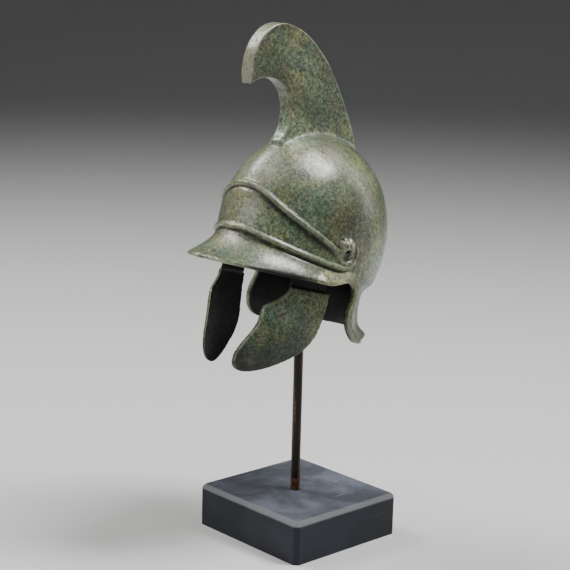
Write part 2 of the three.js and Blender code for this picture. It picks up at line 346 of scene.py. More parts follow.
def normal_array(mesh):
    normals = np.empty(len(mesh.vertices) * 3, np.float32)
    mesh.vertex_normals.foreach_get("vector", normals)
    return normals.reshape(-1, 3).astype(float)


def write_vertices(mesh, co):
    mesh.vertices.foreach_set("co", co.astype(np.float32).ravel())
    mesh.update()


def edge_array(mesh):
    edges = np.empty(len(mesh.edges) * 2, np.int32)
    mesh.edges.foreach_get("vertices", edges)
    return edges.reshape(-1, 2)


def neighbour_mean(values, edges):
    """Average of each vertex's neighbours, for one or more columns of values."""
    ends = np.concatenate((edges[:, 0], edges[:, 1]))
    others = np.concatenate((edges[:, 1], edges[:, 0]))
    size = len(values)
    count = np.maximum(np.bincount(ends, minlength=size), 1)
    columns = values[:, None] if values.ndim == 1 else values
    means = [np.bincount(ends, weights=column[others], minlength=size) / count for column in columns.T]
    return means[0] if values.ndim == 1 else np.stack(means, -1)


def relax(mesh, weight, rounds):
    """Smooths the vertices towards their neighbours, each by its own weight."""
    co = vertex_array(mesh)
    edges = edge_array(mesh)
    for _ in range(rounds):
        co += (neighbour_mean(co, edges) - co) * weight[:, None]
    write_vertices(mesh, co)


def store(mesh, name, values):
    layer = mesh.attributes.new(name, "FLOAT", "POINT")
    layer.data.foreach_set("value", values.astype(np.float32))


def bend_of(mesh):
    """How convex (above 0) or hollow (below 0) the surface is at each vertex, in 1/mm."""
    co = vertex_array(mesh)
    edges = edge_array(mesh)
    squared = np.tile(((co[edges[:, 0]] - co[edges[:, 1]]) ** 2).sum(1), 2)
    ends = edges.T.ravel()
    local = np.bincount(ends, weights=squared) / np.maximum(np.bincount(ends), 1)
    bend = ((co - neighbour_mean(co, edges)) * normal_array(mesh)).sum(1) / local
    for _ in range(2):
        bend = 0.5 * bend + 0.5 * neighbour_mean(bend, edges)
    return bend


def distance_to_line(points, line):
    """Distance from each point to a polyline, in any number of dimensions."""
    best = np.full(len(points), 1e9)
    for a, b in zip(line[:-1], line[1:]):
        a = np.array(a, float)
        span = np.array(b, float) - a
        t = np.clip(((points - a) @ span) / (span @ span), 0, 1)
        best = np.minimum(best, np.linalg.norm(points - a - t[:, None] * span, axis=1))
    return best


def shade_smooth(mesh):
    mesh.polygons.foreach_set("use_smooth", [True] * len(mesh.polygons))


def lumps(co, size, seed):
    """Smooth noise in -1..1 at each point, with lumps of about that size."""
    shift = Vector((seed * 17.3, seed * 5.1, seed * 9.7))
    return np.array([noise.noise(Vector(p) / size + shift) for p in co])


# ------------------------------------------------------------------ casting
def bowl_shell():
    bm = bmesh.new()
    bmesh.ops.create_uvsphere(bm, u_segments=240, v_segments=150, radius=1.0)
    bmesh.ops.bisect_plane(bm, geom=bm.verts[:] + bm.edges[:] + bm.faces[:], plane_co=(0, 0, -UNIT_FLOOR),
                           plane_no=(0, 0, -1), clear_outer=True)
    bmesh.ops.recalc_face_normals(bm, faces=bm.faces)
    bmesh.ops.solidify(bm, geom=bm.faces[:], thickness=UNIT_WALL)
    unit = np.array([v.co for v in bm.verts])
    reach = np.linalg.norm(unit, axis=1)
    up = unit[:, 2] / reach
    middle = (reach.max() + reach.min()) / 2
    z = np.where(up >= 0, BOWL_HALF.z * up, LOWEST * np.arcsin(np.clip(-up, 0, 1)) / math.asin(UNIT_FLOOR))
    angle = np.degrees(np.arctan2(unit[:, 0], -unit[:, 1]))
    spots = skin(angle, z)
    crown = np.abs(up) > 0.995
    normals = np.where(crown[:, None], (0.0, 0.0, 1.0), skin_normal(angle, np.where(crown, 0, z)))
    spots = np.where((reach > middle)[:, None], spots, spots - WALL * normals)
    for vert, spot in zip(bm.verts, spots):
        vert.co = spot
    bmesh.ops.recalc_face_normals(bm, faces=bm.faces)
    shell = new_object("bowl_shell", bm)
    raise_border(shell.data)
    voxel_remesh(shell, CASTING_VOXEL)
    boolean(shell, new_object("below_edge", prism(BELOW_EDGE, 60)), "DIFFERENCE")
    return shell


def raise_border(mesh):
    co = vertex_array(mesh)
    outward = co.copy()
    outward[:, 2] = 0
    outward /= np.maximum(np.linalg.norm(outward, axis=1, keepdims=True), 1e-9)
    outside = (outward * normal_array(mesh)).sum(1) > 0
    distance = distance_to_line(co[:, 1:], EAR_EDGE)
    rise = BORDER_HEIGHT * (1 - smooth_step(BORDER_FLAT * BORDER_WIDTH, BORDER_WIDTH, distance))
    co += outward * (rise * outside * (co[:, 2] < 0))[:, None]
    write_vertices(mesh, co)


def tube(name, points, radii):
    curve = bpy.data.curves.new(name, "CURVE")
    curve.dimensions = "3D"
    curve.bevel_depth = 1.0
    curve.bevel_resolution = 4
    curve.use_fill_caps = True
    line = curve.splines.new("POLY")
    line.points.add(len(points) - 1)
    for point, spot, radius in zip(line.points, points, radii):
        point.co = (*spot, 1.0)
        point.radius = radius
    holder = bpy.data.objects.new(name, curve)
    bpy.context.scene.collection.objects.link(holder)
    graph = bpy.context.evaluated_depsgraph_get()
    mesh = bpy.data.meshes.new_from_object(holder.evaluated_get(graph))
    bpy.data.objects.remove(holder)
    bpy.data.curves.remove(curve)
    piece = bpy.data.objects.new(name, mesh)
    bpy.context.scene.collection.objects.link(piece)
    return piece


def ridge_line(stations):
    """Points of a ridge's crest line from the right ear to the left, and how far each is turned aside."""
    half = spline([stations[0]] + stations, 8)
    both = [(-angle, z) for angle, z in half[:0:-1]] + half
    angle = np.array([s[0] for s in both])
    z = np.array([s[1] for s in both])
    return skin(angle, z), np.abs(angle)


def ridges():
    pieces = []
    for name, stations in (("upper_ridge", UPPER_RIDGE), ("lower_ridge", LOWER_RIDGE)):
        line, turn = ridge_line(stations)
        thin = (RIDGE_END_SHARE - 1) * smooth_step(RIDGE_THINS_FROM, RIDGE_THINS_TO, turn)
        pieces.append(tube(name, line, RIDGE_RADIUS * (1 + thin)))
    return pieces


def knobs():
    """Rough lump on each side, inside the loop of the lower ridge; the pit below it is sunk later."""
    pieces = []
    for side in (1, -1):
        bm = bmesh.new()
        bmesh.ops.create_icosphere(bm, subdivisions=5, radius=1.0)
        for vert in bm.verts:
            rough = 1 + KNOB_ROUGHNESS * noise.noise(vert.co * 2.6 + Vector((side, 0, 0)))
            vert.co = Vector((side * KNOB.x, KNOB.y, KNOB.z)) + rough * vert.co * KNOB_HALF
        pieces.append(new_object("knob", bm))
    return pieces


def below_ridge(co, stations):
    """How far each point lies below the ridge's crest line, measured along the skin."""
    half = np.array(spline([stations[0]] + stations, 8))
    half = half[:np.argmax(half[:, 0]) + 1]
    turn = np.abs(skin_angle(co))
    line_z = np.interp(turn, half[:, 0], half[:, 1])
    slope = np.gradient(half[:, 1], half[:, 0]) / 0.7
    tilt = 1 / np.sqrt(1 + np.interp(turn, half[:, 0], slope) ** 2)
    return (line_z - co[:, 2]) * tilt, turn


def carve_grooves(co, normals, outside):
    """Sunk line along the lower side of each ridge."""
    depth = np.zeros(len(co))
    for stations, last in GROOVED_RIDGES:
        below, turn = below_ridge(co, stations)
        groove = np.exp(-((below - GROOVE_DROP) / GROOVE_WIDTH) ** 2)
        depth = np.maximum(depth, groove * (1 - smooth_step(last - GROOVE_FADE, last, turn)))
    return co - normals * (GROOVE_DEPTH * depth * outside)[:, None], depth * outside


def raise_spine(co, normals, outside):
    """Low ridge down the forehead, where the crest's front edge runs out."""
    across = np.exp(-(co[:, 0] / SPINE_WIDTH) ** 2)
    along = smooth_step(*SPINE_RISES, co[:, 2]) * (1 - smooth_step(*SPINE_FALLS, co[:, 2]))
    height = SPINE_HEIGHT * across * along * (co[:, 1] < SPINE_REAR)
    return co + normals * (height * outside)[:, None]


def sink_pits(co, normals):
    for spot, radius, depth in PITS:
        for side in (1, -1):
            away = np.linalg.norm(co - np.array(spot) * (side, 1, 1), axis=1)
            co = co - normals * (depth * np.exp(-(away / radius) ** 2))[:, None]
    return co


def fillet_crest_root(mesh):
    """Rounds the corner between the crest's sides and the bowl."""
    co = vertex_array(mesh)
    root_line = [(y, BOWL_HALF.z * math.sqrt(1 - (y / BOWL_HALF.y) ** 2))
                 for y in np.linspace(CREST_FILLET_FROM, CREST_FILLET_TO, 40)]
    root = distance_to_line(co[:, 1:], root_line)
    beside = np.abs(np.abs(co[:, 0]) - CREST_THICKNESS / 2)
    outside = np.linalg.norm(co / np.array(BOWL_HALF) * 1.02, axis=1) > 1
    fillet = (1 - smooth_step(1.5, 4.5, root)) * (1 - smooth_step(2.5, 5.5, beside)) * outside
    relax(mesh, 0.5 * fillet, FILLET_ROUNDS)


def round_crest_tip(co):
    """The hook's end is round across its thickness."""
    across = np.minimum(np.abs(co[:, 0]) / (CREST_THICKNESS / 2), 1)
    lift = CREST_TIP_ROUNDING * across ** 2.6 - CREST_TIP_SAG
    share = 1 - smooth_step(CREST_TIP, CREST_TIP + CREST_TIP_REACH, co[:, 2])
    share = share * smooth_step(-44, -50, co[:, 1]) * (co[:, 2] > CREST_TIP - 6)
    lifted = co.copy()
    lifted[:, 2] += lift * share
    return lifted


def helmet_casting():
    crest = new_object("crest", prism(crest_outline(), CREST_THICKNESS / 2, CREST_BEVEL))
    casting = join_meshes("helmet_bronze", [bowl_shell(), crest] + ridges() + knobs())
    voxel_remesh(casting, CASTING_VOXEL)
    mesh = casting.data
    fillet_crest_root(mesh)
    relax(mesh, np.full(len(mesh.vertices), 0.35), 2)
    reduce = casting.modifiers.new("reduce", "DECIMATE")
    reduce.ratio = min(1.0, CASTING_TRIANGLES / (2 * len(mesh.polygons)))
    apply_modifiers(casting)
    mesh = casting.data
    co = vertex_array(mesh)
    normals = normal_array(mesh)
    inside = inside_mask(co)
    outside = 1 - inside
    co = round_crest_tip(co)
    co = raise_spine(co, normals, outside)
    co, groove = carve_grooves(co, normals, outside)
    co = sink_pits(co, normals)
    uneven = 0.12 * lumps(co, 11.0, 1) + 0.05 * lumps(co, 3.4, 2)
    uneven += roughened(co) * lumps(co, 1.7, 4)
    co = co + normals * uneven[:, None]
    write_vertices(mesh, co)
    bend = bend_of(mesh)
    store(mesh, "edge_wear", smooth_step(0.10, 0.42, bend) * outside)
    # Darkening in hollows, in the grooves under the ridges and in the knob's pit, stored as recess: painted
    # shade.
    from_pit = np.linalg.norm(co[:, 1:] - np.array(KNOB_PIT[1:]), axis=1)
    pit = np.exp(-(from_pit / KNOB_PIT_RADIUS) ** 4) * (np.abs(co[:, 0]) > KNOB_INNER_SIDE)
    hollow = smooth_step(0.05, 0.26, -bend) * outside
    store(mesh, "recess", np.maximum.reduce([hollow, 0.9 * groove, 1.3 * pit]))
    # The inside of the hollow is marked to go near-black in the material: painted shade.
    store(mesh, "inside", inside)
    stain_casting(mesh, co, normal_array(mesh), outside)
    mesh.transform(to_place)
    shade_smooth(mesh)
    return casting


def patch(co, spot, size):
    """1 at the spot, fading out over about that size, and the same on the other side of the helmet."""
    folded = np.concatenate((np.abs(co[:, 0:1]), co[:, 1:]), 1)
    return np.exp(-(((folded - np.array(spot)) / np.array(size)) ** 2).sum(1))


def roughened(co):
    """How strongly the casting is left rough: on top of the knobs and at the visor's tip."""
    return 1.3 * patch(co, KNOB_TOP, 3.4) + 0.5 * patch(co, (0.0, -VISOR_REACH, VISOR_RIM), 7.0)


def inside_mask(co):
    """1 on the hollow side of the wall, 0 on the outside."""
    reach = np.linalg.norm(co[:, :2], axis=1)
    wall = np.linalg.norm(skin(skin_angle(co), co[:, 2])[:, :2], axis=1)
    upper = np.sqrt(((co / np.array(BOWL_HALF)) ** 2).sum(1))
    share = np.where(co[:, 2] > 0, upper, reach / np.maximum(wall, 1e-6))
    return 1 - smooth_step(0.955, 0.98, share)


def stain_casting(mesh, co, normals, outside):
    """Where brown, teal and yellow patina lie on the casting, with pale patches that are mostly painted
    highlights and darkened faces that are painted shade.
    """
    brown = (0.9 * patch(co, (33.7, -3, 10), (10, 11, 12)) + 0.9 * patch(co, (34, 6, -7), (9, 7, 8))
             + 0.6 * patch(co, (29, -21, -2), (9, 9, 4)))
    teal = (patch(co, (28.3, -22.5, 14.8), (8, 9, 8)) + 0.7 * patch(co, (23, -33, 0), (7, 7, 5))
            + 0.8 * patch(co, (12, -52, -17), (12, 9, 5)))
    ear = 1 - smooth_step(1.0, 7.5, distance_to_line(co[:, 1:], EAR_EDGE[4:28]))
    yellow = (0.75 * ear * (co[:, 2] < -12) + 0.5 * patch(co, (0, -47, 13), (16, 6, 4))
              + 0.4 * patch(co, (31, -20, -21), (9, 14, 3)) + 0.5 * patch(co, (22, 2, 37), (7, 7, 6)))
    # Pale: the patches on the bowl, forehead, visor and band are painted highlights; the crest's front face
    # is pale patina with painted light from the front; the knob tops are pale rough metal.
    crest_front = smooth_step(0.35, 0.8, -normals[:, 1]) * smooth_step(44, 56, co[:, 2]) * (co[:, 1] < -41)
    pale = (crest_front + 0.15 * patch(co, (14, -28, 34), (14, 12, 10))
            + 1.1 * patch(co, (21, -12, 35), (7, 8, 9)) + 0.6 * patch(co, (11, -37, 23), (6, 8, 8))
            + 0.5 * patch(co, (2, -50, -10), (16, 12, 7)) + 0.3 * patch(co, (8, -44, 5), (14, 8, 7))
            + 1.2 * patch(co, KNOB_TOP, (4, 4, 2.6)))
    # Painted shade: the crest's sideways faces high up and the lower rear of the bowl are darkened.
    painted_shade = smooth_step(46, 60, co[:, 2]) * (1 - crest_front) * smooth_step(0.7, 0.9, np.abs(normals[:, 0]))
    painted_shade += smooth_step(-12, -20, co[:, 2]) * smooth_step(-6, 2, co[:, 1]) * 0.7
    store(mesh, "teal", np.clip(teal, 0, 1) * outside)
    store(mesh, "brown", np.clip(brown, 0, 1) * outside)
    store(mesh, "yellow", np.clip(yellow, 0, 1) * outside)
    store(mesh, "pale", np.clip(pale, 0, 1) * outside)
    store(mesh, "painted_shade", np.clip(painted_shade, 0, 1) * outside)


# ------------------------------------------------------------------ cheek guards
def cheek_face(y, z):
    plan = np.sqrt(1 - (y / CHEEK_PLAN) ** 2)
    fall = np.minimum(z - CHEEK_MIDDLE, 0) / CHEEK_DROP
    recess = CHEEK_RECESS * smooth_step(CHEEK_CREASE - 0.2, CHEEK_CREASE + 0.4, z)
    return CHEEK_HALF_WIDTH * plan * np.sqrt(1 - fall * fall) - recess


def cheek_guard(side):
    bm = bmesh.new()
    bmesh.ops.create_grid(bm, x_segments=72, y_segments=120, size=1.0)
    bmesh.ops.solidify(bm, geom=bm.faces[:], thickness=1.0)
    top = max(v.co.z for v in bm.verts)
    for vert in bm.verts:
        y = CHEEK_PATCH_Y + CHEEK_PATCH_HALF_Y * vert.co.x
        z = CHEEK_PATCH_Z + CHEEK_PATCH_HALF_Z * vert.co.y
        depth = top - vert.co.z
        lug = STRAP_LUG * smooth_step(LUG_FROM, LUG_TO, z) * (1 - depth)
        vert.co = (side * float(cheek_face(y, z) + lug - depth * CHEEK_WALL), y, z)
    bmesh.ops.recalc_face_normals(bm, faces=bm.faces)
    plate = new_object("cheek_plate_left" if side > 0 else "cheek_plate_right", bm)
    boolean(plate, new_object("outline", prism(cheek_outline(), 45)), "INTERSECT")
    voxel_remesh(plate, PLATE_VOXEL)
    mesh = plate.data
    relax(mesh, np.full(len(mesh.vertices), 0.4), 4)
    co = vertex_array(mesh)
    normals = normal_array(mesh)
    uneven = 0.12 * lumps(co, 9.0, 3 + side) + 0.05 * lumps(co, 2.6, 6 + side)
    rim = smooth_step(0.02, 0.12, bend_of(mesh)) * smooth_step(-20, -8, co[:, 1])
    uneven -= 0.5 * rim * np.clip(lumps(co, 1.6, 12), 0, 1)
    write_vertices(mesh, co + normals * uneven[:, None])
    bend = bend_of(mesh)
    rear = smooth_step(-12, -5, co[:, 1]) * smooth_step(-60, -45, co[:, 2])
    blotch = 0.5 + 0.5 * lumps(co, 2.4, 9) + 0.35 * lumps(co, 7.0, 10)
    # The lower tip is darkened, broken up by noise: painted shade.
    shaded_tip = smooth_step(-46, -67, co[:, 2]) ** 1.2 * np.clip(0.5 + blotch, 0, 1)
    front = 0.25 + 0.75 * smooth_step(-22, -30, co[:, 1])
    store(mesh, "edge_wear", smooth_step(0.05, 0.22, bend) * (1 - 0.9 * shaded_tip) * front)
    # The strap above the crease is darkened as the visor's shadow: painted shadow.
    visor_shadow = 0.95 * smooth_step(-27.5, -26.4, co[:, 2])
    store(mesh, "recess", np.maximum(visor_shadow, shaded_tip))
    # The strap and the inner face are stored as inside, so they go near-black: painted shadow and painted
    # shade.
    shadowed_strap = smooth_step(CHEEK_CREASE - 0.2, CHEEK_CREASE + 0.3, co[:, 2])
    store(mesh, "inside", np.maximum(smooth_step(0.1, 0.5, -normals[:, 0] * side), shadowed_strap))
    upper_rear = smooth_step(-38, -28, co[:, 2]) * smooth_step(-22, -9, co[:, 1])
    store(mesh, "yellow", np.maximum(upper_rear, 0.75 * rear))
    store(mesh, "brown", 0.5 * smooth_step(-31, -27, co[:, 2]))
    # Pale on the sharp front edges: painted highlight.
    store(mesh, "pale", smooth_step(0.3, 0.8, bend) * smooth_step(-25, -31, co[:, 1]))
    # Darker towards the bottom of the cheek guard: painted shade.
    store(mesh, "painted_shade", smooth_step(-40, -60, co[:, 2]))
    store(mesh, "teal", np.zeros(len(co)))
    mesh.transform(to_place)
    shade_smooth(mesh)
    return plate


# ------------------------------------------------------------------ stand
def rod_shaft():
    low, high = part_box("mount_rod")
    radius = (high.x - low.x) / 2
    bm = bmesh.new()
    bmesh.ops.create_cone(bm, cap_ends=True, segments=48, radius1=radius, radius2=radius,
                          depth=high.z - low.z)
    rims = [e for e in bm.edges if abs(e.verts[0].co.z - e.verts[1].co.z) < 1e-9]
    bmesh.ops.bevel(bm, geom=rims, offset=radius * 0.4, segments=4, profile=0.5, affect="EDGES", material=-1)
    bmesh.ops.translate(bm, verts=bm.verts, vec=(low + high) / 2)
    rod = new_object("rod_shaft", bm)
    shade_smooth(rod.data)
    return rod


def chamfer_edges(bm, edges, size, segments):
    bmesh.ops.bevel(bm, geom=edges, offset=size * MM, segments=segments, profile=0.5, affect="EDGES",
                    material=-1)


def slate_block():
    low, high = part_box("stone_base")
    size = high - low
    bm = bmesh.new()
    bmesh.ops.create_cube(bm, size=1.0)
    bmesh.ops.scale(bm, vec=size, verts=bm.verts)
    bmesh.ops.translate(bm, verts=bm.verts, vec=(low + high) / 2)
    sides = [e for e in bm.edges if abs(e.verts[0].co.z - e.verts[1].co.z) > 1e-6]
    chamfer_edges(bm, sides, CORNER_CHAMFER, 1)
    top = [e for e in bm.edges if all(v.co.z > high.z - 1e-6 for v in e.verts)]
    chamfer_edges(bm, top, TOP_CHAMFER, 1)
    chamfer_edges(bm, bm.edges[:], ARRIS, 2)
    return new_object("slate_block", bm)


# ------------------------------------------------------------------ materials
def link(tree, source, target):
    tree.links.new(source, target)


def set_input(tree, socket, value):
    """Joins a socket to another node's output, or sets it to a plain value."""
    if isinstance(value, bpy.types.NodeSocket):
        tree.links.new(value, socket)
    elif socket.type == "RGBA":
        socket.default_value = (*value, 1.0)
    else:
        socket.default_value = value


def object_coordinates(tree, scale=(1, 1, 1), turn=(0, 0, 0)):
    place = tree.nodes.new("ShaderNodeTexCoord")
    mapping = tree.nodes.new("ShaderNodeMapping")
    mapping.inputs["Scale"].default_value = scale
    mapping.inputs["Rotation"].default_value = turn
    link(tree, place.outputs["Object"], mapping.inputs["Vector"])
    return mapping.outputs["Vector"]


def axes_of(tree, vector):
    """The X, Y and Z outputs of a vector."""
    split = tree.nodes.new("ShaderNodeSeparateXYZ")
    link(tree, vector, split.inputs["Vector"])
    return split.outputs


def cloud(tree, vector, scale, detail=4.0, roughness=0.55, distortion=0.0):
    """Noise value at the given number of lumps per metre."""
    node = tree.nodes.new("ShaderNodeTexNoise")
    node.inputs["Detail"].default_value = detail
    node.inputs["Roughness"].default_value = roughness
    node.inputs["Distortion"].default_value = distortion
    set_input(tree, node.inputs["Scale"], scale)
    link(tree, vector, node.inputs["Vector"])
    return node.outputs["Fac"]


def span(tree, value, low, high, to_low=0.0, to_high=1.0):
    """Smoothly maps low..high to to_low..to_high."""
    node = tree.nodes.new("ShaderNodeMapRange")
    node.interpolation_type = "SMOOTHSTEP"
    set_input(tree, node.inputs["Value"], value)
    for name, number in (("From Min", low), ("From Max", high), ("To Min", to_low), ("To Max", to_high)):
        set_input(tree, node.inputs[name], number)
    return node.outputs["Result"]


def maths(tree, operation, first, second=0.0, clamp=False):
    node = tree.nodes.new("ShaderNodeMath")
    node.operation = operation
    node.use_clamp = clamp
    set_input(tree, node.inputs[0], first)
    set_input(tree, node.inputs[1], second)
    return node.outputs["Value"]


def blend_colour(tree, share, first, second, mode="MIX"):
    node = tree.nodes.new("ShaderNodeMix")
    node.data_type = "RGBA"
    node.blend_type = mode
    set_input(tree, node.inputs["Factor"], share)
    set_input(tree, node.inputs["A"], first)
    set_input(tree, node.inputs["B"], second)
    return node.outputs["Result"]


def grey_of(tree, value):
    """Colour whose three channels all follow one value."""
    node = tree.nodes.new("ShaderNodeCombineColor")
    for name in ("Red", "Green", "Blue"):
        link(tree, value, node.inputs[name])
    return node.outputs["Color"]


def mesh_value(tree, name):
    node = tree.nodes.new("ShaderNodeAttribute")
    node.attribute_name = name
    return node.outputs["Fac"]


def bumped(tree, height, strength, distance):
    node = tree.nodes.new("ShaderNodeBump")
    node.inputs["Strength"].default_value = strength
    node.inputs["Distance"].default_value = distance
    link(tree, height, node.inputs["Height"])
    return node.outputs["Normal"]


def new_group(name, inputs, outputs):
    """Empty node group; inputs are (name, type, value), outputs are (name, type)."""
    group = bpy.data.node_groups.new(name, "ShaderNodeTree")
    for label, kind, value in inputs:
        socket = group.interface.new_socket(label, in_out="INPUT", socket_type=kind)
        socket.default_value = value
    for label, kind in outputs:
        group.interface.new_socket(label, in_out="OUTPUT", socket_type=kind)
    return group, group.nodes.new("NodeGroupInput").outputs, group.nodes.new("NodeGroupOutput").inputs


def place_group(tree, group, **values):
    node = tree.nodes.new("ShaderNodeGroup")
    node.node_tree = group
    for name, value in values.items():
        set_input(tree, node.inputs[name.replace("_", " ")], value)
    return node.outputs


COLOUR, NUMBER = "NodeSocketColor", "NodeSocketFloat"


def verdigris_group():
    """Layered green patina: broad patches, fine mottling and black specks."""
    group, given, result = new_group("verdigris", [
        ("Green", COLOUR, (0.10, 0.15, 0.09, 1)), ("Teal", COLOUR, (0.1, 0.2, 0.15, 1)),
        ("Olive", COLOUR, (0.2, 0.2, 0.08, 1)), ("Dark", COLOUR, (0.02, 0.025, 0.02, 1)),
        ("Specks", NUMBER, 0.5), ("Yellow", NUMBER, 0.0), ("Brown", NUMBER, 0.0),
        ("Teal share", NUMBER, 0.0)],
        [("Color", COLOUR), ("Specks", NUMBER), ("Height", NUMBER)])
    vector = object_coordinates(group)
    mid = cloud(group, object_coordinates(group, turn=(0.9, 0.1, 1.7)), 260.0, 4.0, 0.65)
    broad = cloud(group, vector, 52.0, 5.0, 0.6, 0.35)
    broad = maths(group, "ADD", maths(group, "MULTIPLY", broad, 0.68), maths(group, "MULTIPLY", mid, 0.32))
    second = cloud(group, object_coordinates(group, turn=(0.6, 1.1, 0.3)), 78.0, 5.0, 0.62, 0.3)
    second = maths(group, "ADD", maths(group, "MULTIPLY", second, 0.72), maths(group, "MULTIPLY", mid, 0.28))
    fine = cloud(group, vector, 560.0, 7.0, 0.80)
    grain = cloud(group, vector, 2300.0, 3.0, 0.7)
    teal = maths(group, "ADD", span(group, broad, 0.47, 0.60, 0.0, 0.9), given["Teal share"], clamp=True)
    colour = blend_colour(group, teal, given["Green"], given["Teal"])
    olive = maths(group, "ADD", span(group, second, 0.49, 0.61, 0.0, 0.8), given["Yellow"], clamp=True)
    olive = maths(group, "MULTIPLY", olive, span(group, fine, 0.30, 0.62, 0.55, 1.0))
    colour = blend_colour(group, olive, colour, given["Olive"])
    stain = maths(group, "MULTIPLY", given["Brown"], span(group, second, 0.30, 0.6, 0.45, 1.0))
    colour = blend_colour(group, stain, colour, (0.060, 0.048, 0.022))
    pale = maths(group, "ADD", fine, maths(group, "MULTIPLY", broad, 0.35))
    pale = span(group, pale, 0.68, 0.86, 0.0, 0.62)
    colour = blend_colour(group, pale, colour, blend_colour(group, 0.55, given["Teal"], (0.42, 0.43, 0.30)))
    warm = cloud(group, object_coordinates(group, turn=(1.5, 0.2, 0.9)), 115.0, 4.0, 0.65)
    colour = blend_colour(group, span(group, warm, 0.50, 0.66, 0.0, 0.55), colour, (0.165, 0.135, 0.098))
    shade = span(group, cloud(group, object_coordinates(group, turn=(0.2, 0.7, 1.4)), 38.0, 3.0, 0.5),
                 0.35, 0.65, 0.62, 1.12)
    mottle = cloud(group, object_coordinates(group, turn=(0.4, 0.9, 0.2)), 820.0, 3.0, 0.7, 0.6)
    shade = maths(group, "MULTIPLY", shade, span(group, mottle, 0.36, 0.64, 0.52, 1.66))
    colour = blend_colour(group, 1.0, colour, grey_of(group, shade), "MULTIPLY")
    deep = span(group, fine, 0.52, 0.34, 0.0, 0.9)
    colour = blend_colour(group, deep, colour, given["Dark"])
    grit = cloud(group, object_coordinates(group, turn=(1.2, 0.4, 0.8)), 1350.0, 4.0, 0.7)
    where = span(group, cloud(group, vector, 130.0, 3.0, 0.6), 0.40, 0.62, 0.25, 1.0)
    where = maths(group, "ADD", maths(group, "MULTIPLY", where, 0.26), 0.84)
    specks = span(group, maths(group, "MULTIPLY", grit, where), 0.565, 0.64)
    specks = maths(group, "MULTIPLY", specks, given["Specks"], clamp=True)
    specks = maths(group, "MULTIPLY", specks, 0.8)
    colour = blend_colour(group, specks, colour, given["Dark"])
    height = maths(group, "ADD", maths(group, "MULTIPLY", fine, 0.7), maths(group, "MULTIPLY", grain, 0.3))
    height = maths(group, "SUBTRACT", height, maths(group, "MULTIPLY", specks, 0.45))
    for name, value in (("Color", colour), ("Specks", specks), ("Height", height)):
        link(group, value, result[name])
    return group


def worn_edge_group():
    """Dark dirt and painted shade in hollows and rubbed pale metal on edges, both broken up by noise."""
    group, given, result = new_group("worn_edges", [
        ("Color", COLOUR, (0.1, 0.1, 0.1, 1)), ("Dirt and shade", COLOUR, (0.012, 0.014, 0.010, 1)),
        ("Rubbed", COLOUR, (0.36, 0.36, 0.26, 1)), ("Edge", NUMBER, 0.0), ("Hollow", NUMBER, 0.0)],
        [("Color", COLOUR), ("Wear", NUMBER)])
    uneven = cloud(group, object_coordinates(group), 210.0, 4.0, 0.6)
    # The hollow share darkens towards the dark colour: dirt and painted shade.
    dirt_and_shade = maths(group, "MULTIPLY", given["Hollow"], span(group, uneven, 0.34, 0.56, 0.5, 1.0))
    wear = maths(group, "MULTIPLY", given["Edge"], span(group, uneven, 0.34, 0.60, 0.25, 1.0))
    colour = blend_colour(group, dirt_and_shade, given["Color"], given["Dirt and shade"])
    colour = blend_colour(group, maths(group, "MULTIPLY", wear, 0.8), colour, given["Rubbed"])
    link(group, colour, result["Color"])
    link(group, wear, result["Wear"])
    return group


def new_material(name):
    material = bpy.data.materials.new(name)
    material.use_nodes = True
    return material, material.node_tree, material.node_tree.nodes["Principled BSDF"]


